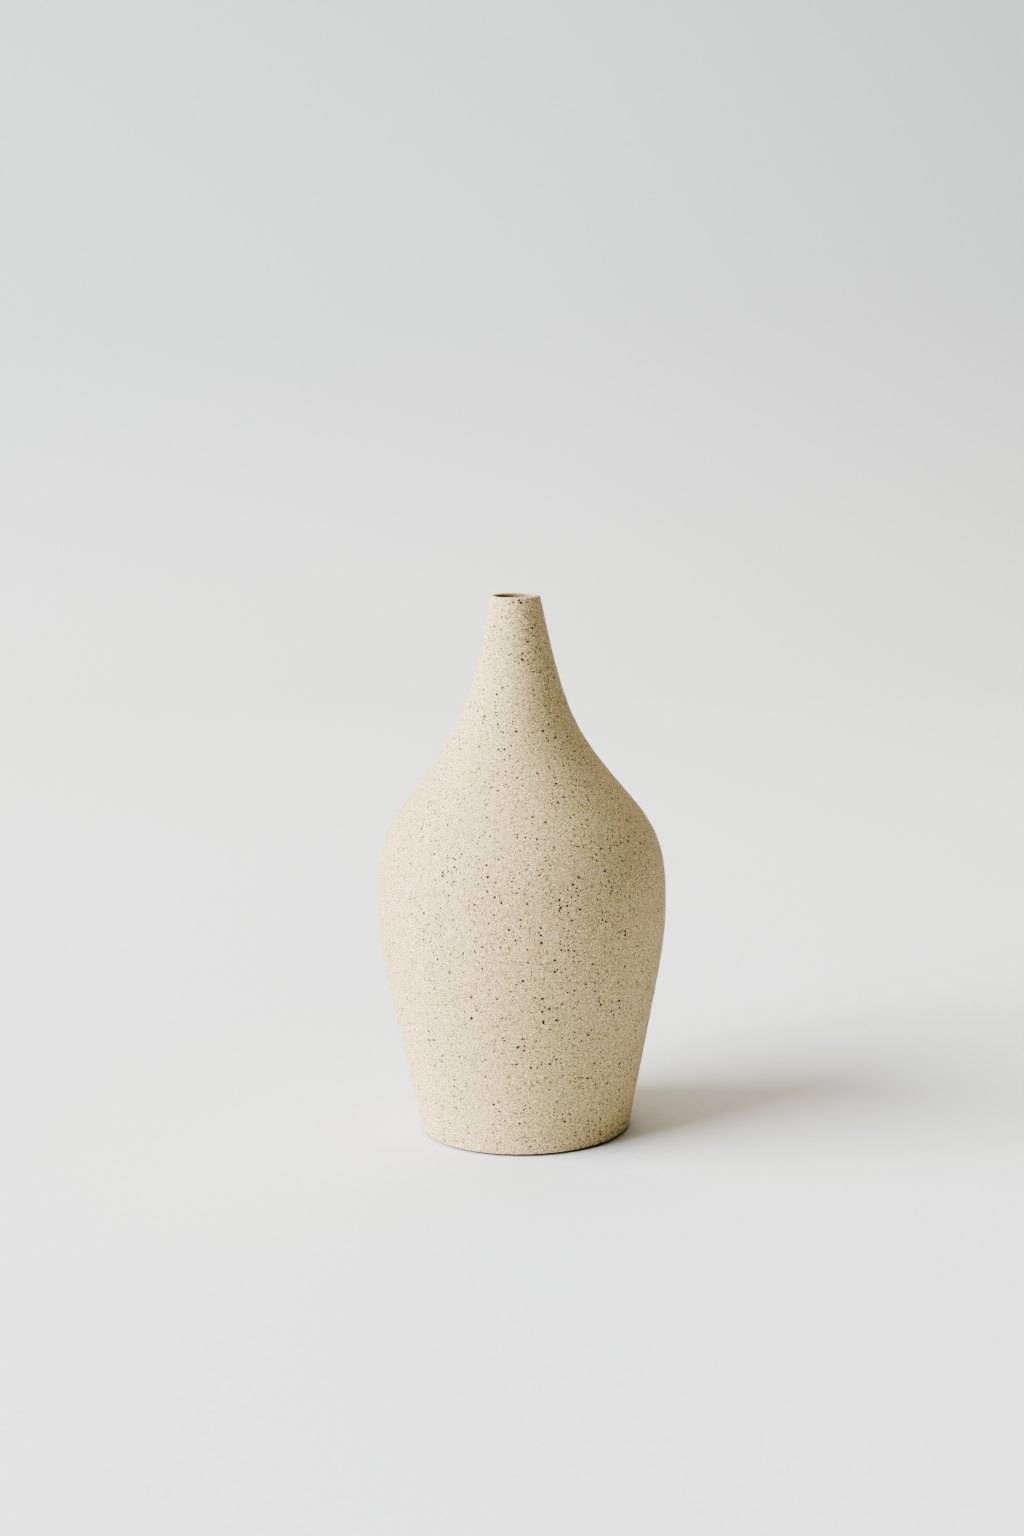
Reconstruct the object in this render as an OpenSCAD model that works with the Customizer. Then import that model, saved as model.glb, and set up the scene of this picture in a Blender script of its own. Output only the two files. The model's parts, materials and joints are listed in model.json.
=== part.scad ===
// Hand-thrown stoneware bottle vase: a full belly drawn in to a slender neck, bare clay outside
// and a glaze lining inside. Millimetres, +Z up, the axis it was thrown on.
// The origin is the centre of the face that the foot rests on.
// The fired clay is one body. It is drawn here as the four bands that it was thrown in,
// which meet face to face on cuts square to the wall.

/* [Height] */
// Height from the resting face to the top of the lip
vase_h = 200; // [185:1:220]
// Height of the widest part of the belly
belly_z = 90.5; // [82:0.5:100]
// Height at which the shoulder turns from bulging out to hollowing in
shoulder_z = 136; // [130:0.5:144]

/* [Foot] */
// Diameter at the top of the bevel round the bottom edge
foot_d = 78; // [70:0.5:84]
// Height and width of that bevel
bevel = 1; // [0.5:0.1:1.5]
// Lean of the wall as it leaves the foot, in degrees outwards from upright
foot_lean = 11.5; // [8:0.5:14]
// Width of the ring that the vase rests on
ring_w = 7; // [5:0.5:9]
// Depth of the recess turned out of the underside
recess_depth = 1.5; // [0.5:0.1:2.5]
// Thickness of the floor above the recess
floor_t = 5.5; // [4:0.5:7]

/* [Belly and shoulder] */
// Widest diameter of the belly
belly_d = 107.5; // [100:0.5:114]
// Diameter at the turn of the shoulder
shoulder_d = 64.5; // [60:0.5:70]
// Lean of the shoulder at its turn, in degrees inwards from upright
shoulder_lean = 37; // [32:1:42]

/* [Neck and mouth] */
// Diameter of the straight throat under the lip
throat_d = 14.5; // [12:0.5:17]
// Length of the straight throat
throat_len = 8; // [5:0.5:10]
// Lean of the neck's inside where it meets the throat, in degrees inwards from upright
throat_lean = 6; // [2:1:10]
// Lean of the neck's outside just under the lip, in degrees inwards from upright
lip_lean = 10; // [6:1:14]

/* [Wall] */
// Thickness of the wall at the foot, from which it thins evenly with height
foot_wall = 6; // [5:0.25:7]
// Thickness of the wall at the lip, which is rounded over
lip_wall = 1.75; // [1.5:0.25:2.5]
// Thickness of the glaze lining
glaze_t = 0.4; // [0.3:0.05:0.6]

/* [Sweep of the curves] */
// How far the lean at the foot carries up, as a share of the rise from foot to belly
foot_sweep = 0.75; // [0.6:0.05:0.8]
// How far the upright belly carries down, as a share of the same rise
under_belly_sweep = 0.23; // [0.15:0.01:0.3]
// How far the upright belly carries up, as a share of the rise from belly to shoulder
over_belly_sweep = 0.51; // [0.4:0.01:0.6]
// How far the lean of the shoulder carries down, as a share of the same rise
shoulder_sweep = 0.47; // [0.35:0.01:0.55]
// How far the lean of the shoulder carries up, as a share of the rise from shoulder to lip
neck_sweep = 0.28; // [0.2:0.01:0.35]
// How far the lean at the lip carries down, as a share of the same rise
lip_sweep = 0.61; // [0.5:0.01:0.7]
// How far both ends of the neck's inside carry on, as a share of the rise from shoulder to throat
bore_sweep = 0.4; // [0.35:0.01:0.45]

/* [Smoothness] */
// Number of straight steps that each stretch of the outline is drawn in
steps = 20; // [12:1:32]
// Number of straight steps round the rounded lip
lip_steps = 8; // [4:1:16]

/* [Hidden] */
$fn = 96;

clay_colour = "#d6c8ae";
glaze_colour = "#c9b48c";

// Share of the foot-to-belly stretch that the foot base takes
base_share = 0.1;
base_steps = round(steps * base_share);
// Share of the neck's inside that the lining reaches up, before it was wiped back
glaze_share = 0.85;
glaze_end_step = round(steps * glaze_share);
// Sweep of both ends that rounds a curve through a right angle
round_sweep = 0.55;

lip_r = lip_wall / 2;
floor_z = recess_depth + floor_t;
throat_z = vase_h - lip_r - throat_len;
ring_outer_r = foot_d / 2 - bevel;
ring_inner_r = ring_outer_r - ring_w;

// Places on the outline, each [radius, height]
lip_centre = [throat_d / 2 + lip_r, vase_h - lip_r];
foot_place = [foot_d / 2, bevel];
belly_place = [belly_d / 2, belly_z];
shoulder_place = [shoulder_d / 2, shoulder_z];
lip_place = lip_centre + lip_r * [cos(lip_lean), sin(lip_lean)];
throat_place = [throat_d / 2, throat_z];

// Unit step up a wall that leans outwards by an angle
function up(lean) = [sin(lean), cos(lean)];

// A stretch of outline is a cubic curve: its two ends, and between them the points that it heads for
function stretch(a, b, lean_a, lean_b, sweep_a, sweep_b) =
    let (rise = b[1] - a[1])
    [a, a + sweep_a * rise * up(lean_a), b - sweep_b * rise * up(lean_b), b];

// Place on a curve at t, from 0 at its start to 1 at its end
function along(c, t) =
    pow(1 - t, 3) * c[0] + 3 * t * pow(1 - t, 2) * c[1]
    + 3 * t * t * (1 - t) * c[2] + pow(t, 3) * c[3];

// Unit vector square to a rising curve, pointing in towards the axis
function inward(c, t) =
    let (v = pow(1 - t, 2) * (c[1] - c[0]) + 2 * t * (1 - t) * (c[2] - c[1]) + t * t * (c[3] - c[2]))
    [-v[1], v[0]] / norm(v);

// Wall thickness at a height
function wall(z) = foot_wall + (lip_wall - foot_wall) * z / vase_h;

// Places on a curve from step i0 to step i1, moved inwards by a depth
function line_on(c, i0 = 0, i1 = steps, depth = 0) =
    [for (i = [i0:i1]) along(c, i / steps) + depth * inward(c, i / steps)];
// The same, moved inwards by the wall's thickness as well
function line_inside(c, i0 = 0, i1 = steps, depth = 0) =
    [for (i = [i0:i1])
        let (p = along(c, i / steps))
        p + (wall(p[1]) + depth) * inward(c, i / steps)];

function reversed(list) = [for (i = [len(list) - 1:-1:0]) list[i]];
function last(list) = list[len(list) - 1];

// The outside of the wall
lower_curve = stretch(foot_place, belly_place, foot_lean, 0, foot_sweep, under_belly_sweep);
upper_curve = stretch(belly_place, shoulder_place, 0, -shoulder_lean, over_belly_sweep, shoulder_sweep);
neck_curve = stretch(shoulder_place, lip_place, -shoulder_lean, -lip_lean, neck_sweep, lip_sweep);

// The inside of the neck, which thickens a little to the straight throat
neck_inside_place = last(line_inside(upper_curve));
bore_curve = stretch(neck_inside_place, throat_place, -shoulder_lean, -throat_lean, bore_sweep, bore_sweep);

// The rounded heel inside, from the flat floor up to the wall
heel_place = line_inside(lower_curve, base_steps, base_steps)[0];
heel_square = inward(lower_curve, base_steps / steps);
heel_rise = heel_place[1] - floor_z;
heel_sweep = round_sweep * heel_rise;
heel_start = [heel_place[0] - heel_rise, floor_z];
heel_curve = [
    heel_start,
    heel_start + [heel_sweep, 0],
    heel_place - heel_sweep * [heel_square[1], -heel_square[0]],
    heel_place
];

// The rounded top of the lip, from the outside of the neck over to the throat
lip_arc = [
    for (i = [1:lip_steps])
        let (a = lip_lean + (180 - lip_lean) * i / lip_steps)
        lip_centre + lip_r * [cos(a), sin(a)]
];

// Thrown floor, its turned foot ring and the start of the wall
module foot_base() {
    color(clay_colour) rotate_extrude() polygon(concat(
        [[0, recess_depth], [ring_inner_r - recess_depth, recess_depth]],
        [[ring_inner_r, 0], [ring_outer_r, 0]],
        line_on(lower_curve, 0, base_steps),
        reversed(line_on(heel_curve)),
        [[0, floor_z]]
    ));
}

// Wall from the foot base up to the widest part
module belly_wall() {
    color(clay_colour) rotate_extrude() polygon(concat(
        line_on(lower_curve, base_steps),
        reversed(line_inside(lower_curve, base_steps))
    ));
}

// Wall from the widest part in to the turn of the shoulder
module shoulder_wall() {
    color(clay_colour) rotate_extrude() polygon(concat(
        line_on(upper_curve),
        reversed(line_inside(upper_curve))
    ));
}

// Neck, rounded lip and straight throat
module neck() {
    color(clay_colour) rotate_extrude() polygon(concat(
        line_on(neck_curve),
        lip_arc,
        reversed(line_on(bore_curve))
    ));
}

// Glaze fused to the inside, from the floor up to just under the throat
module liner_glaze() {
    color(glaze_colour) rotate_extrude() polygon(concat(
        [[0, floor_z]],
        line_on(heel_curve),
        line_inside(lower_curve, base_steps + 1),
        line_inside(upper_curve, 1),
        line_on(bore_curve, 1, glaze_end_step),
        reversed(line_on(bore_curve, 1, glaze_end_step, glaze_t)),
        reversed(line_inside(upper_curve, 1, steps, glaze_t)),
        reversed(line_inside(lower_curve, base_steps + 1, steps, glaze_t)),
        reversed(line_on(heel_curve, 0, steps, glaze_t)),
        [[0, floor_z + glaze_t]]
    ));
}

foot_base();
belly_wall();
shoulder_wall();
neck();
liner_glaze();
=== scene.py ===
import json
import math

import bmesh
import bpy
from mathutils import Euler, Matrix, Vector, noise
from mathutils.geometry import interpolate_bezier


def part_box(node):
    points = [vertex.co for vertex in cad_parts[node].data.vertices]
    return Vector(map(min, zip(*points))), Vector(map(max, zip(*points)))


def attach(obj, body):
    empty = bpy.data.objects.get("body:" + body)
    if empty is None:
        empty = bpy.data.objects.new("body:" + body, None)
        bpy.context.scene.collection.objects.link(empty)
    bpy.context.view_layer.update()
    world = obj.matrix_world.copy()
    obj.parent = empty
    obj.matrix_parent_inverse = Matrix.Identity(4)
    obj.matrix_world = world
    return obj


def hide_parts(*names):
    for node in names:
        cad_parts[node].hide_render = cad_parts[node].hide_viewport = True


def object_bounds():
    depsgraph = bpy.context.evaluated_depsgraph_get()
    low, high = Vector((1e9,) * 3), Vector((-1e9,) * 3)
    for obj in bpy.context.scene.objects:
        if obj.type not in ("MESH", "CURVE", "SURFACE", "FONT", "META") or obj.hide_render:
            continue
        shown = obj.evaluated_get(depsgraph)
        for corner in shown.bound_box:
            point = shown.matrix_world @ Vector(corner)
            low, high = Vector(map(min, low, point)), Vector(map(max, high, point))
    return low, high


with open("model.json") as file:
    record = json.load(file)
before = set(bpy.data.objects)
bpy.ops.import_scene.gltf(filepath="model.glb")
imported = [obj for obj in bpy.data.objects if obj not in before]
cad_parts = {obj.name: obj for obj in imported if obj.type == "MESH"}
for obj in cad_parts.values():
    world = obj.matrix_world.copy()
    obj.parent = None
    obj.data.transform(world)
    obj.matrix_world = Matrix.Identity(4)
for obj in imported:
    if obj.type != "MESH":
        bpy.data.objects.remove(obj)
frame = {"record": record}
cad_low, cad_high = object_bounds()


# ---------------------------------------------------------------------------------------------
# Fired clay body.
# Speckled stoneware, thrown on the wheel as one hollow wall from the foot ring up to the lip,
# trimmed at the foot, and fired bare, so that it is dry and matte outside.
# ---------------------------------------------------------------------------------------------
MM = 0.001

vase_height = cad_high.z
belly_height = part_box("belly_wall")[1].z
shoulder_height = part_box("shoulder_wall")[1].z
belly_radius = max(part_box("belly_wall")[1].xy)
shoulder_radius = max(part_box("neck")[1].xy)
mouth = next(m for m in frame["record"]["mounts"] if m["name"] == "mouth")
throat_radius = mouth["dims"]["r_mm"] * MM
throat_length = mouth["dims"]["length_mm"] * MM

foot_radius = 39.0 * MM
foot_bevel = 1.0 * MM
ring_width = 7.0 * MM
recess_depth = 1.5 * MM
floor_thickness = 5.5 * MM
foot_wall = 6.0 * MM
lip_wall = 1.75 * MM

# Lean of the wall at the ends of each stretch of its outline, in degrees from upright
foot_lean = 11.5
shoulder_lean = 37.0
lip_lean = 10.0
throat_lean = 6.0

# How far the leans at a stretch's two ends carry on along it, as shares of its rise
lower_reaches = (0.75, 0.23)
upper_reaches = (0.51, 0.47)
neck_reaches = (0.28, 0.61)
bore_reaches = (0.4, 0.4)

# Space between the points of the outline, and a space too small to count
outside_gap = 1.35 * MM
inside_gap = 2.6 * MM
touching = 0.01 * MM


def place(radius, height):
    """A point on the outline, in the plane that is spun round the axis."""
    return Vector((radius, 0.0, height))


def climb(lean):
    """The direction up a wall that leans outwards by an angle in degrees."""
    return place(math.sin(math.radians(lean)), math.cos(math.radians(lean)))


def stretch(start, end, leans, reaches, gap):
    """A smooth stretch of outline from one place and lean to another, with a point to each gap."""
    rise = end.z - start.z
    first_handle = start + climb(leans[0]) * reaches[0] * rise
    last_handle = end - climb(leans[1]) * reaches[1] * rise
    rows = max(4, round((end - start).length / gap))
    return interpolate_bezier(start, first_handle, last_handle, end, rows + 1)


def arc(centre, radius, first, last, steps):
    """Points round an arc, from one angle to another in degrees."""
    angles = [math.radians(first + (last - first) * i / steps) for i in range(steps + 1)]
    return [centre + place(math.cos(a), math.sin(a)) * radius for a in angles]


def wall_at(height):
    """The wall thins evenly from the foot to the lip."""
    return foot_wall + (lip_wall - foot_wall) * height / vase_height


def moved_in(points, depth):
    """The same line, moved squarely in towards the hollow by a depth that may vary with height."""
    moved = []
    for i, point in enumerate(points):
        before, after = points[max(i - 1, 0)], points[min(i + 1, len(points) - 1)]
        along = (after - before).normalized()
        moved.append(point + place(-along.z, along.x) * depth(point.z))
    return moved


def joined(*lines):
    """One line from several that meet end to end, without the doubled points."""
    points = list(lines[0])
    for line in lines[1:]:
        skip = 1 if (line[0] - points[-1]).length < touching else 0
        points.extend(line[skip:])
    return points


# The outside, from the foot's bevel up to the lip
lip_round = lip_wall / 2
lip_centre = place(throat_radius + lip_round, vase_height - lip_round)
foot_place = place(foot_radius, foot_bevel)
belly_place = place(belly_radius, belly_height)
shoulder_place = place(shoulder_radius, shoulder_height)
lip_angle = math.radians(lip_lean)
lip_place = lip_centre + place(math.cos(lip_angle), math.sin(lip_angle)) * lip_round


def body_line(gap):
    """The outside of the body, from the foot over the belly to the turn of the shoulder."""
    lower = stretch(foot_place, belly_place, (foot_lean, 0), lower_reaches, gap)
    upper = stretch(belly_place, shoulder_place, (0, -shoulder_lean), upper_reaches, gap)
    return joined(lower, upper)


neck_line = stretch(shoulder_place, lip_place, (-shoulder_lean, -lip_lean), neck_reaches, outside_gap)
outside_line = joined(body_line(outside_gap), neck_line)

# The inside, from the floor's middle over a rounded heel and up to the throat
floor_height = recess_depth + floor_thickness
floor_rows = 8
heel_top = 20 * MM
heel_rows = 10
heel_fullness = 0.55
inside_wall = [p for p in moved_in(body_line(inside_gap), wall_at) if p.z > heel_top]
heel_rise = inside_wall[0].z - floor_height
heel_start = place(inside_wall[0].x - heel_rise, floor_height)
heel_reach = heel_fullness * heel_rise
heel_climb = (inside_wall[1] - inside_wall[0]).normalized()
heel_line = interpolate_bezier(
    heel_start,
    heel_start + place(heel_reach, 0),
    inside_wall[0] - heel_climb * heel_reach,
    inside_wall[0],
    heel_rows,
)
throat_foot = place(throat_radius, vase_height - lip_round - throat_length)
bore_line = stretch(inside_wall[-1], throat_foot, (-shoulder_lean, -throat_lean), bore_reaches, inside_gap)
floor_line = [place(heel_start.x * i / floor_rows, floor_height) for i in range(floor_rows + 1)]
inside_line = joined(floor_line, heel_line, inside_wall, bore_line)

# The underside: a shallow recess with the rings left by the trimming tool, the softened ring that
# the vase stands on, and the cut that the tool left under the foot's edge
ring_outer = foot_radius - foot_bevel
ring_inner = ring_outer - ring_width
recess_radius = ring_inner - recess_depth
soft = 0.5 * MM
tool_width = 2.6 * MM
tool_depth = 0.18 * MM
rows_to_a_ring = 4
undercut_height = 0.9 * MM
undercut_depth = 2.8 * MM

recess_rows = round(recess_radius / (tool_width / rows_to_a_ring))
recess_line = []
for i in range(recess_rows):
    r = recess_radius * i / recess_rows
    recess_line.append(place(r, recess_depth - tool_depth * abs(math.sin(math.pi * r / tool_width))))
recess_line += arc(place(recess_radius, recess_depth - soft), soft, 90, 45, 3)
ring_line = arc(place(ring_inner + soft, soft), soft, 225, 270, 3)
ring_line += [place(ring_inner + ring_width / 2, 0)]
bevel_round = foot_bevel - undercut_height
bevel_centre = foot_place - place(bevel_round, 0)
bevel_line = [place(foot_radius - undercut_depth, 0)]
bevel_line += [place(foot_radius - undercut_depth, undercut_height * share) for share in (0.5, 1)]
bevel_line += arc(bevel_centre, bevel_round, -90, 0, 5)

# The rounded lip and the straight throat under it
lip_rows = 12
throat_rows = 6
lip_line = arc(lip_centre, lip_round, lip_lean, 180, lip_rows)
throat_steps = [throat_length * i / throat_rows for i in range(throat_rows + 1)]
throat_line = [place(throat_radius, vase_height - lip_round - step) for step in throat_steps]

outer_skin = joined(recess_line, ring_line, bevel_line, outside_line, lip_line)
clay_outline = joined(outer_skin, throat_line, list(reversed(inside_line)))


def face_number(face, corner_count):
    """A number that no other face has, from the numbers of the face's three lowest corners."""
    first, second, third = sorted(corner.index for corner in face.verts)[:3]
    return (first * corner_count + second) * corner_count + third


def turned(outline, outside_count, turns=288, sectors=6):
    """An outline spun once round the axis and closed at both poles, with a mark on each point that
    belongs to the inside. One sector is spun and then repeated, which is far quicker than one spin."""
    shape = bmesh.new()
    inside = shape.verts.layers.int.new("inside")
    points = [shape.verts.new(p) for p in outline]
    for point in points[outside_count:]:
        point[inside] = 1
    wire = [shape.edges.new(pair) for pair in zip(points, points[1:])]
    axis = {"cent": (0, 0, 0), "axis": (0, 0, 1), "dvec": (0, 0, 0), "use_merge": False}
    sector = math.tau / sectors
    bmesh.ops.spin(shape, geom=points + wire, angle=sector, steps=turns // sectors,
                   use_duplicate=False, **axis)
    everything = shape.verts[:] + shape.edges[:] + shape.faces[:]
    bmesh.ops.spin(shape, geom=everything, angle=math.tau - sector, steps=sectors - 1,
                   use_duplicate=True, **axis)
    bmesh.ops.remove_doubles(shape, verts=shape.verts, dist=0.002 * MM)
    bmesh.ops.recalc_face_normals(shape, faces=shape.faces)

    # The faces come out in a chance order, so they are put in one that is the same each time
    shape.verts.index_update()
    corner_count = len(shape.verts)
    shape.faces.sort(key=lambda face: face_number(face, corner_count))
    return shape


# Marks of the hand. The wall was pressed out a little at one side of the shoulder and in at the
# belly below it, and fingers ran up it in a spiral, faint outside and deeper inside. On the other
# side the neck is a little fuller and the lip a little lower, and the lip dips here and there.
pressed_side = math.pi
shoulder_press = 0.9 * MM
shoulder_press_height = 146 * MM
belly_press = -0.55 * MM
belly_press_height = 90 * MM
press_spread = 17 * MM
neck_swell = 0.45 * MM
neck_swell_span = (150 * MM, 175 * MM)
dent_size = 42 * MM
dent_depth = 0.2 * MM
least_dent = 0.04 * MM
finger_pitch = 8.5 * MM
finger_depth = (0.11 * MM, 0.45 * MM)  # outside, inside
finger_drift = 0.45  # of a pitch
finger_drift_size = 25 * MM
finger_strength = 0.6
finger_strength_drift = 0.5
finger_strength_size = 30 * MM
lip_dip = 0.16 * MM
least_lip_dip = 0.01 * MM
lip_dip_reach = 2.5 * MM
lip_tilt = 0.3 * MM
lip_tilt_reach = 12 * MM

# The marks fade in above the foot, away from the floor's middle and below the throat
foot_fade = 14 * MM
floor_fade = 12 * MM
throat_fade = 22 * MM


def eased(value, start, end):
    """From 0 at start to 1 at end, smoothly."""
    share = min(max((value - start) / (end - start), 0.0), 1.0)
    return share * share * (3 - 2 * share)


def swell(height, middle):
    """1 at the middle height, fading to nothing above and below it."""
    return math.exp(-((height - middle) / press_spread) ** 2)


def hand_marked(shape):
    """Moves a wall's points as the potter's hands did, and leaves the foot ring, the middle of the
    floor and the throat's bore true."""
    inside = shape.verts.layers.int["inside"]
    for vert in shape.verts:
        x, y, z = vert.co
        radius = math.hypot(x, y)
        angle = math.atan2(y, x)
        outwards = vert.co.xy.to_3d().normalized()
        free = eased(z, 0, foot_fade) * eased(radius, 0, floor_fade)
        free *= 1 - eased(z, throat_foot.z - throat_fade, throat_foot.z)
        side = 0.5 + 0.5 * math.cos(angle - pressed_side)
        press = shoulder_press * swell(z, shoulder_press_height)
        press += belly_press * swell(z, belly_press_height)
        dent = least_dent + dent_depth * (0.5 + 0.5 * noise.noise(vert.co / dent_size))
        round_wall = Vector((math.cos(angle), math.sin(angle), z / finger_drift_size))
        drift = finger_drift * noise.noise(round_wall + Vector((7, 3, 1)))
        ridge = math.cos(math.tau * (z / finger_pitch + drift) + angle)
        patch = noise.noise(vert.co / finger_strength_size + Vector((2, 9, 4)))
        strength = finger_strength + finger_strength_drift * patch
        groove = strength * (0.5 - 0.5 * ridge)
        into_clay = finger_depth[1] * groove if vert[inside] else -finger_depth[0] * groove
        vert.co += outwards * (press * side - dent + into_clay) * free
        if not vert[inside]:
            full = eased(z, *neck_swell_span) * eased(radius, throat_radius, throat_radius + lip_wall)
            vert.co += outwards * neck_swell * (1 - side) * full
        wave = 0.5 + 0.5 * noise.noise(Vector((2 * math.cos(angle), 2 * math.sin(angle), 5)))
        dip = least_lip_dip + lip_dip * wave
        vert.co.z -= dip * eased(z, vase_height - lip_dip_reach, vase_height)
        vert.co.z -= lip_tilt * (1 - side) * eased(z, vase_height - lip_tilt_reach, vase_height)
    return shape


def finished(name, shape):
    """Turns a bmesh into a smooth-shaded piece at the origin."""
    for face in shape.faces:
        face.smooth = True
    mesh = bpy.data.meshes.new(name)
    shape.to_mesh(mesh)
    shape.free()
    piece = bpy.data.objects.new(name, mesh)
    bpy.context.scene.collection.objects.link(piece)
    return piece


fired_clay = finished("fired_clay", hand_marked(turned(clay_outline, len(outer_skin))))
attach(fired_clay, "root")
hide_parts("foot_base", "belly_wall", "shoulder_wall", "neck")


def colour(hex_code):
    """An sRGB hex colour as the linear colour that shaders use."""
    parts = [int(hex_code[i:i + 2], 16) / 255 for i in (1, 3, 5)]
    linear = [p / 12.92 if p <= 0.04045 else ((p + 0.055) / 1.055) ** 2.4 for p in parts]
    return (*linear, 1.0)


def material(name):
    """A new node material, with its node tree and its shader."""
    made = bpy.data.materials.new(name)
    made.use_nodes = True
    return made, made.node_tree, made.node_tree.nodes["Principled BSDF"]


def add(tree, kind, inputs, **settings):
    """Adds a node, sets its settings, and fills each input with a value or a link."""
    made = tree.nodes.new(kind)
    for name, value in settings.items():
        setattr(made, name, value)
    for name, value in inputs.items():
        if isinstance(value, bpy.types.NodeSocket):
            tree.links.new(value, made.inputs[name])
        else:
            made.inputs[name].default_value = value
    return made


def speckled_stoneware():
    """Bare speckled stoneware: cream clay with grog and iron specks in it, fired without a glaze.
    The eye gets a dry matte surface, cream in the light, with a sandy grain, tan and brown specks
    under a millimetre across, and sparse dark iron specks, bunched here and there. The real grain
    is about 0.2 mm wide, which is too fine to show, so it is drawn about 0.45 mm wide."""
    drift_mm = 30
    grain_mm = 0.45
    bunch_mm = 12

    made, tree, shader = material("bare speckled stoneware")
    where = add(tree, "ShaderNodeTexCoord", {}).outputs["Object"]
    in_mm = add(tree, "ShaderNodeVectorMath", {0: where, "Scale": 1 / MM}, operation="SCALE").outputs[0]

    # The clay's own colour drifts from pinkish to yellowish over a few centimetres
    drift = add(tree, "ShaderNodeTexNoise",
                {"Vector": in_mm, "Scale": 1 / drift_mm, "Detail": 2.0}).outputs[0]
    drift_share = add(tree, "ShaderNodeMapRange", {0: drift, 1: 0.35, 2: 0.65}).outputs[0]
    clay = add(tree, "ShaderNodeMix", {0: drift_share, 6: colour("#D5BE97"), 7: colour("#D0BE92")},
               data_type="RGBA").outputs[2]

    # Grains of sand, each lighter or darker than the clay between them
    grain = add(tree, "ShaderNodeTexNoise",
                {"Vector": in_mm, "Scale": 1 / grain_mm, "Detail": 1.0, "Roughness": 0.6}).outputs[0]
    light_share = add(tree, "ShaderNodeMapRange", {0: grain, 1: 0.28, 2: 0.72}).outputs[0]
    sand = add(tree, "ShaderNodeMix", {0: light_share, 6: (0.38, 0.34, 0.26, 1), 7: (1.52, 1.53, 1.58, 1)},
               data_type="RGBA").outputs[2]
    surface = add(tree, "ShaderNodeVectorMath", {0: clay, 1: sand}, operation="MULTIPLY").outputs[0]

    # Specks bunch together where the iron was dug with the clay
    bunch = add(tree, "ShaderNodeTexNoise",
                {"Vector": in_mm, "Scale": 1 / bunch_mm, "Detail": 2.0}).outputs[0]
    crowd = add(tree, "ShaderNodeMapRange", {0: bunch, 1: 0.3, 2: 0.7, 3: -0.12, 4: 0.12}).outputs[0]

    # Each kind of speck: the space between two places for one in mm, the largest radius in mm, the
    # share of the places that hold one, how strongly it shows, and its colour. Its edge is soft.
    for spacing, radius, share, strength, hex_code in (
        (0.95, 0.35, 0.6, 0.85, "#735C3B"),
        (1.5, 0.46, 0.56, 0.95, "#463420"),
        (2.3, 0.62, 0.46, 1.0, "#1F160E"),
    ):
        cells = add(tree, "ShaderNodeTexVoronoi", {"Vector": in_mm, "Scale": 1 / spacing})
        chance = add(tree, "ShaderNodeSeparateColor", {0: cells.outputs["Color"]}).outputs[0]
        luck = add(tree, "ShaderNodeMath", {0: chance, 1: crowd}, operation="ADD").outputs[0]
        there = add(tree, "ShaderNodeMath", {0: luck, 1: 1 - share}, operation="GREATER_THAN").outputs[0]
        edge = add(tree, "ShaderNodeMapRange", {0: luck, 1: 1 - share, 2: 1.1, 3: 0.55 * radius / spacing,
                                                4: radius / spacing}).outputs[0]
        core = add(tree, "ShaderNodeMath", {0: edge, 1: 0.75}, operation="MULTIPLY").outputs[0]
        inside = add(tree, "ShaderNodeMapRange", {0: cells.outputs["Distance"], 1: edge, 2: core, 3: 0.0,
                                                  4: strength}, interpolation_type="SMOOTHSTEP").outputs[0]
        speck = add(tree, "ShaderNodeMath", {0: inside, 1: there}, operation="MULTIPLY").outputs[0]
        surface = add(tree, "ShaderNodeMix", {0: speck, 6: surface, 7: colour(hex_code)},
                      data_type="RGBA").outputs[2]

    # Painted shade: the inside of the throat is painted darker, as the shade inside the mouth, more
    # towards the lip
    height = add(tree, "ShaderNodeSeparateXYZ", {0: in_mm}).outputs[2]
    level = add(tree, "ShaderNodeVectorMath", {0: in_mm, 1: (1, 1, 0)}, operation="MULTIPLY").outputs[0]
    off_axis = add(tree, "ShaderNodeVectorMath", {0: level}, operation="LENGTH").outputs["Value"]
    throat = throat_radius / MM
    in_throat = add(tree, "ShaderNodeMapRange",
                    {0: off_axis, 1: throat + 0.5, 2: throat + 0.05}).outputs[0]
    in_neck = add(tree, "ShaderNodeMapRange", {0: height, 1: 120.0, 2: 150.0, 3: 0.0, 4: 0.6}).outputs[0]
    painted_throat_shade = add(tree, "ShaderNodeMath", {0: in_throat, 1: in_neck}, operation="MULTIPLY").outputs[0]
    throat_shaded_colour = add(tree, "ShaderNodeMix", {0: painted_throat_shade, 6: surface, 7: colour("#82683C")},
                 data_type="RGBA").outputs[2]

    # Painted shade: the cut under the foot's edge is painted dark, as the shadow in that crevice, and the
    # ring that the vase stands on is painted a little darker too
    cut_top = undercut_height / MM
    painted_shade_by_height = add(tree, "ShaderNodeMapRange",
                  {0: height, 1: cut_top + 0.15, 2: cut_top - 0.05, 3: 0.0, 4: 0.85},
                  interpolation_type="SMOOTHSTEP").outputs[0]
    cut_radius = (foot_radius - undercut_depth) / MM
    in_cut = add(tree, "ShaderNodeMapRange",
                 {0: off_axis, 1: cut_radius - 0.8, 2: cut_radius - 0.1, 3: 0.25, 4: 1.0}).outputs[0]
    painted_cut_shade = add(tree, "ShaderNodeMath", {0: painted_shade_by_height, 1: in_cut}, operation="MULTIPLY").outputs[0]
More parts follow.
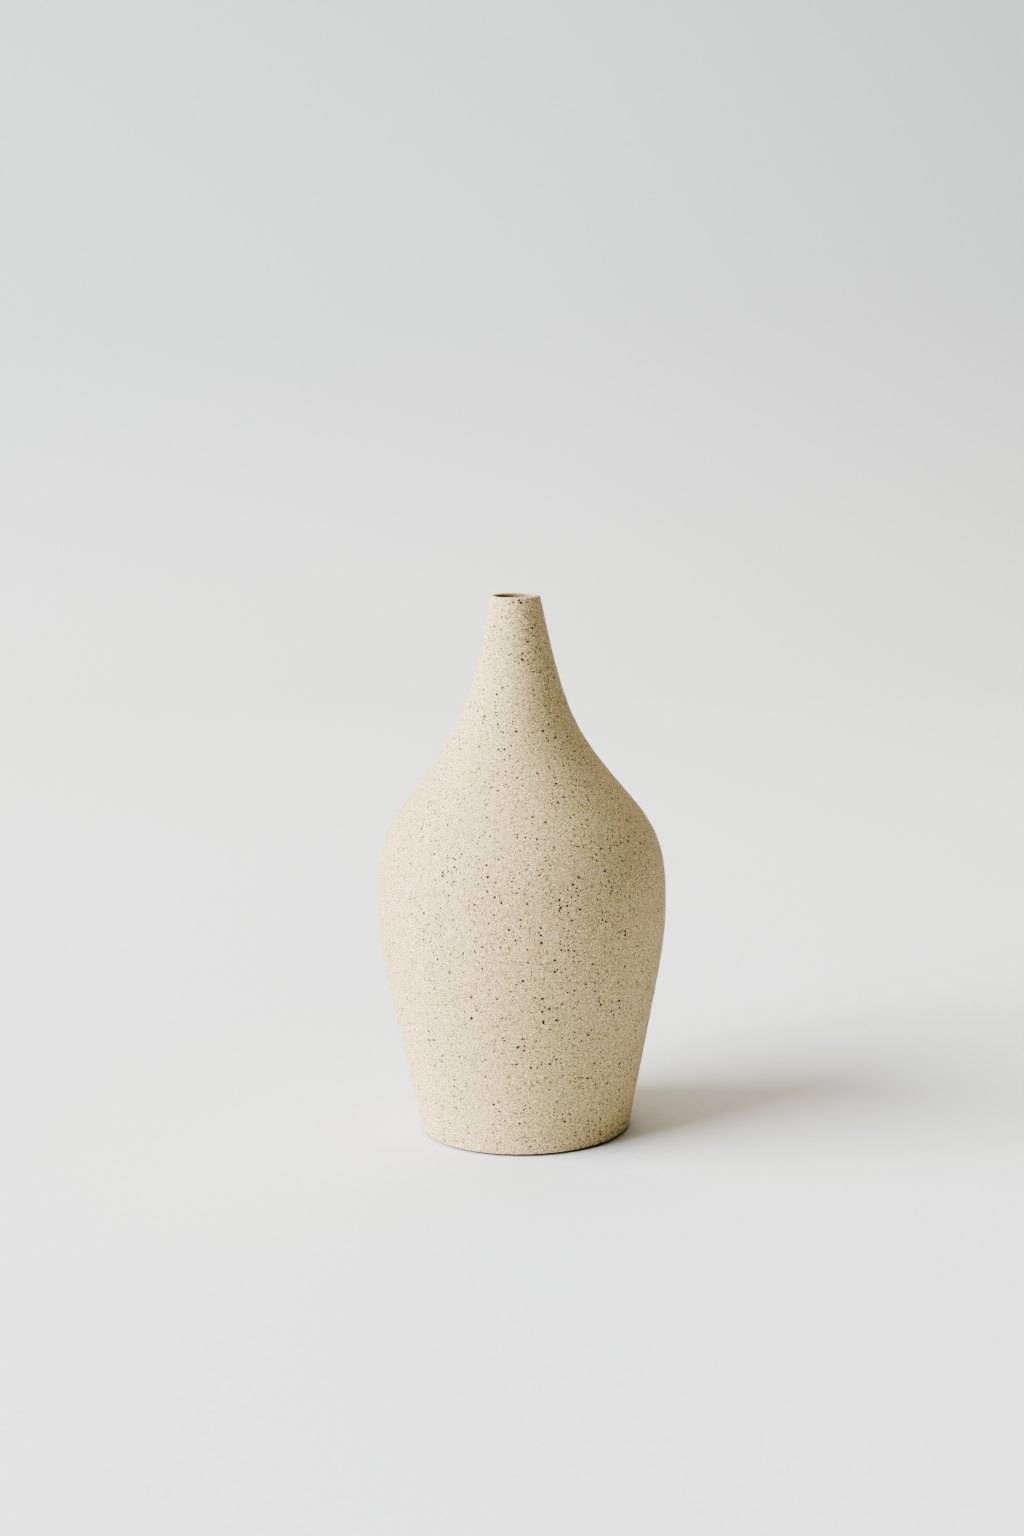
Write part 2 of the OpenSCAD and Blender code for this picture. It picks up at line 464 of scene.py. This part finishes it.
    # The base colour takes the painted shade in the cut under the foot
    fired = add(tree, "ShaderNodeMix", {0: painted_cut_shade, 6: throat_shaded_colour, 7: colour("#4A3826")},
                data_type="RGBA").outputs[2]
    tree.links.new(fired, shader.inputs["Base Color"])

    # The last kind, iron, melts a little in the fire: it sits low and shines more than dry clay
    roughness = add(tree, "ShaderNodeMapRange", {0: speck, 1: 0.0, 2: 1.0, 3: 0.87, 4: 0.6}).outputs[0]
    tree.links.new(roughness, shader.inputs["Roughness"])
    shader.inputs["IOR"].default_value = 1.5
    relief = add(tree, "ShaderNodeMath", {0: grain, 1: speck}, operation="SUBTRACT").outputs[0]
    bump = add(tree, "ShaderNodeBump", {"Strength": 0.4, "Distance": 0.12 * MM, "Height": relief})
    tree.links.new(bump.outputs[0], shader.inputs["Normal"])
    return made


fired_clay.data.materials.append(speckled_stoneware())


# ---------------------------------------------------------------------------------------------
# Glaze lining.
# A coat of clear honey glaze, poured in and out of the raw vase and fused to its inside, so that
# it holds water. It stops under the throat, where the neck was wiped clean.
# ---------------------------------------------------------------------------------------------
glaze_thickness = 0.4 * MM
glaze_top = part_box("liner_glaze")[1].z

glazed_line = [p for p in inside_line if p.z < glaze_top]
glaze_skin = moved_in(glazed_line, lambda height: glaze_thickness)
glaze_skin[0] = glazed_line[0] + place(0, glaze_thickness)
glaze_outline = glazed_line + list(reversed(glaze_skin))
glaze_lining = finished("glaze_lining", hand_marked(turned(glaze_outline, 0, turns=144)))
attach(glaze_lining, "root")
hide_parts("liner_glaze")


def honey_glaze():
    """Clear liner glaze over stoneware: glossy, and honey-coloured where it pools."""
    pool_mm = 9

    made, tree, shader = material("honey liner glaze")
    where = add(tree, "ShaderNodeTexCoord", {}).outputs["Object"]
    in_mm = add(tree, "ShaderNodeVectorMath", {0: where, "Scale": 1 / MM}, operation="SCALE").outputs[0]
    pool = add(tree, "ShaderNodeTexNoise", {"Vector": in_mm, "Scale": 1 / pool_mm, "Detail": 2.0})
    tone = add(tree, "ShaderNodeMix", {0: pool.outputs["Fac"], 6: colour("#8F7447"), 7: colour("#B79C6C")},
               data_type="RGBA")
    tree.links.new(tone.outputs[2], shader.inputs["Base Color"])
    shader.inputs["Roughness"].default_value = 0.12
    shader.inputs["IOR"].default_value = 1.52
    bump = add(tree, "ShaderNodeBump",
               {"Strength": 0.4, "Distance": 0.3 * MM, "Height": pool.outputs["Fac"]})
    tree.links.new(bump.outputs[0], shader.inputs["Normal"])
    return made


glaze_lining.data.materials.append(honey_glaze())


# ---------------------------------------------------------------------------------------------
# Studio paper.
# A pale paper floor under the vase, swept up on all sides into paper walls, so that no edge
# shows. The walls stand far off: they show, but they throw no light or shade on the vase.
# ---------------------------------------------------------------------------------------------
paper_reach = 2.2
paper_sweep = 1.1
sweep_segments = 32

paper_shell = bmesh.new()
bmesh.ops.create_cube(paper_shell, size=2 * paper_reach)
bmesh.ops.translate(paper_shell, verts=paper_shell.verts, vec=(0, 0, paper_reach))
lid = [f for f in paper_shell.faces if f.normal.z > 0.5]
bmesh.ops.delete(paper_shell, geom=lid, context="FACES_ONLY")
bmesh.ops.bevel(
    paper_shell,
    geom=[e for e in paper_shell.edges if not e.is_boundary],
    offset=paper_sweep,
    segments=sweep_segments,
    profile=0.5,
    affect="EDGES",
    material=-1,
)
bmesh.ops.reverse_faces(paper_shell, faces=paper_shell.faces)
flat = [f for f in paper_shell.faces if max(v.co.z for v in f.verts) < touching]
paper_ground = paper_shell.copy()
ground_numbers = {f.index for f in flat}
bmesh.ops.delete(paper_shell, geom=flat, context="FACES")
raised = [f for f in paper_ground.faces if f.index not in ground_numbers]
bmesh.ops.delete(paper_ground, geom=raised, context="FACES")

paper_floor = finished("paper_floor", paper_ground)
paper_walls = finished("paper_walls", paper_shell)
paper_walls.visible_diffuse = False
paper_walls.visible_shadow = False


def pale_paper():
    """Matte studio paper, pale and slightly cool. Its tone is painted greyer towards the back, as
    painted shade out of the light, and there a little more to the right. Its fibres are too fine to show,
    so they are drawn about 2.5 mm wide, as a faint tooth."""
    fibre_mm = 2.5

    made, tree, shader = material("pale studio paper")
    where = add(tree, "ShaderNodeTexCoord", {}).outputs["Object"]
    in_mm = add(tree, "ShaderNodeVectorMath", {0: where, "Scale": 1 / MM}, operation="SCALE").outputs[0]
    spot = add(tree, "ShaderNodeSeparateXYZ", {0: where})

    # The tone of the paper at each distance behind the vase, in metres: painted shade, greyer towards the
    # back, out of the light
    front, back = -0.4, 2.2
    depth = add(tree, "ShaderNodeMapRange", {0: spot.outputs[1], 1: front, 2: back}).outputs[0]
    ramp = add(tree, "ShaderNodeValToRGB", {0: depth})
    stops = ramp.color_ramp.elements
    stops[0].color = colour("#EFF1F0")
    stops[1].color = colour("#C6C8C7")
    for away, hex_code in ((0.0, "#EBEDEC"), (0.5, "#EEF0EF"), (1.0, "#EBEDEC"), (1.45, "#DDDFDD"),
                           (1.85, "#C9CBC9")):
        stops.new((away - front) / (back - front)).color = colour(hex_code)

    # Painted shade: the corner at the back right is painted the dimmest
    right = add(tree, "ShaderNodeMapRange", {0: spot.outputs[0], 1: 0.05, 2: 0.65}).outputs[0]
    far = add(tree, "ShaderNodeMapRange", {0: spot.outputs[1], 1: 0.2, 2: 1.4}).outputs[0]
    corner = add(tree, "ShaderNodeMath", {0: right, 1: far}, operation="MULTIPLY").outputs[0]
    painted_corner_shade = add(tree, "ShaderNodeMapRange", {0: corner, 1: 0.0, 2: 1.0, 3: 1.0, 4: 0.88}).outputs[0]

    # Fibres, in the tone and in the relief
    fibre = add(tree, "ShaderNodeTexNoise",
                {"Vector": in_mm, "Scale": 1 / fibre_mm, "Detail": 4.0}).outputs[0]
    fleck = add(tree, "ShaderNodeMapRange", {0: fibre, 1: 0.3, 2: 0.7, 3: 0.985, 4: 1.015}).outputs[0]
    shade = add(tree, "ShaderNodeMath", {0: painted_corner_shade, 1: fleck}, operation="MULTIPLY").outputs[0]
    toned = add(tree, "ShaderNodeVectorMath", {0: ramp.outputs[0], "Scale": shade},
                operation="SCALE").outputs[0]
    tree.links.new(toned, shader.inputs["Base Color"])
    shader.inputs["Roughness"].default_value = 0.95
    shader.inputs["Specular IOR Level"].default_value = 0.1
    bump = add(tree, "ShaderNodeBump", {"Strength": 0.2, "Distance": 0.1 * MM, "Height": fibre})
    tree.links.new(bump.outputs[0], shader.inputs["Normal"])
    return made


paper = pale_paper()
paper_floor.data.materials.append(paper)
paper_walls.data.materials.append(paper)


# ---------------------------------------------------------------------------------------------
# Light.
# A broad window on the left and a little in front gives nearly all of it. A pale ceiling and a
# warm wall behind the vase each send a little back, and the rest of the room is dim.
# ---------------------------------------------------------------------------------------------
def soft_box(name, azimuth, elevation, distance, size, power, tint):
    """A square soft source that faces the vase, from the left of the camera for a minus azimuth."""
    target = Vector((0.0, 0.0, vase_height / 2))
    a, e = math.radians(azimuth), math.radians(elevation)
    back = Vector((math.sin(a) * math.cos(e), -math.cos(a) * math.cos(e), math.sin(e)))
    lamp = bpy.data.lights.new(name, "AREA")
    lamp.shape = "SQUARE"
    lamp.size = size
    lamp.energy = power
    lamp.color = colour(tint)[:3]
    made = bpy.data.objects.new(name, lamp)
    bpy.context.scene.collection.objects.link(made)
    made.location = target + back * distance
    made.rotation_euler = (-back).to_track_quat("-Z", "Y").to_euler()
    made.visible_camera = False
    return made


soft_box("window_light", azimuth=-72, elevation=27, distance=6.0, size=5.2, power=1030, tint="#F5F9FF")
soft_box("ceiling_bounce", azimuth=180, elevation=80, distance=3.5, size=3.8, power=68, tint="#FDFFED")
soft_box("wall_bounce", azimuth=180, elevation=30, distance=4.0, size=2.7, power=36, tint="#FFDCC4")

world = bpy.data.worlds.new("dim_room")
world.use_nodes = True
world.node_tree.nodes["Background"].inputs["Color"].default_value = colour("#FFF4E4")
world.node_tree.nodes["Background"].inputs["Strength"].default_value = 0.03
bpy.context.scene.world = world


# ---------------------------------------------------------------------------------------------
# Camera.
# A short tele lens just under a metre in front of the vase and a hand's width above its lip. It
# looks down at the turn of the shoulder, and leans over by about a degree.
# ---------------------------------------------------------------------------------------------
camera_place = (-0.0023, -0.931, 0.3002)
camera_down = math.radians(10.0)
camera_roll = math.radians(-1.26)
focal_length = 60.3

lens = bpy.data.cameras.new("camera")
lens.lens = focal_length
camera = bpy.data.objects.new("camera", lens)
bpy.context.scene.collection.objects.link(camera)
camera.location = camera_place
tilt = Euler((math.radians(90) - camera_down, 0, 0)).to_quaternion()
camera.rotation_mode = "QUATERNION"
camera.rotation_quaternion = tilt @ Euler((0, 0, camera_roll)).to_quaternion()
bpy.context.scene.camera = camera
bpy.context.scene.view_settings.view_transform = "AgX"
bpy.context.scene.view_settings.look = "AgX - High Contrast"
